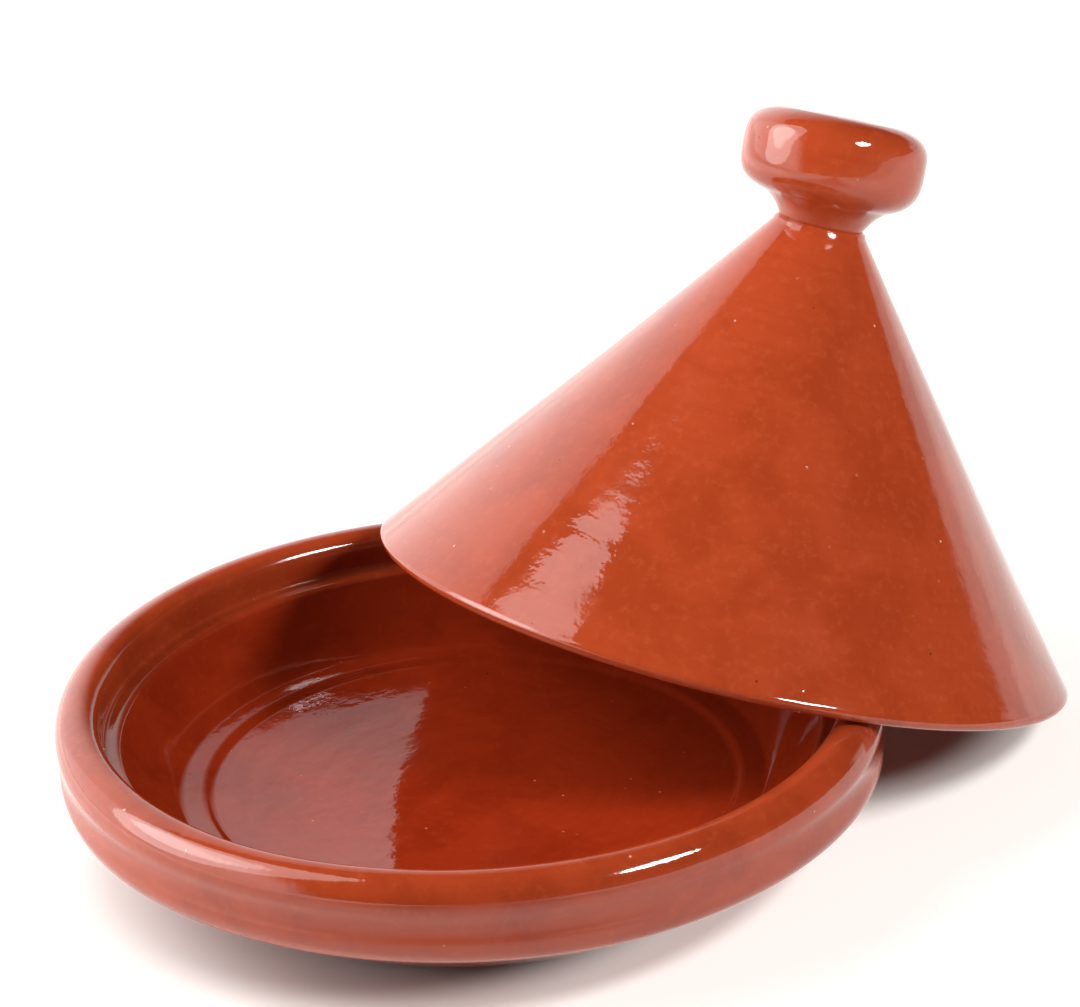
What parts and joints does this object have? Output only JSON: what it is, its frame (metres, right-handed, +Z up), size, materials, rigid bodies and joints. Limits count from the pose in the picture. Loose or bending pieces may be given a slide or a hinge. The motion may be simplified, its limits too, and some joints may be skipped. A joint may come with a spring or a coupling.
{
  "type": "tagine pot",
  "caption": "Shallow round glazed terracotta dish with a rolled rim and a tall hollow conical lid topped by a rounded knob; the lid is off and leans on the dish.",
  "frame": {"origin": "centre of the dish's flat underside, on the table", "axes": "+Z up along the dish's own axis; +X from the dish towards the side where the lid's low edge is on the table; the row is symmetric about its XZ plane"},
  "size_m": [0.3842, 0.29, 0.2252],
  "materials": {
    "dish_glaze": "glossy clear glaze over red terracotta",
    "lid_glaze": "glossy clear glaze over red terracotta"
  },
  "bodies": {
    "dish": {"dish": "dish_glaze"},
    "lid": {"lid_cone": "lid_glaze", "lid_knob": "lid_glaze"}
  },
  "joints": [
    {"name": "lid_lift", "type": "slide", "parent": "dish", "child": "lid", "axis": [0, 0, 1], "range_m": [0, 0.2]}
  ]
}
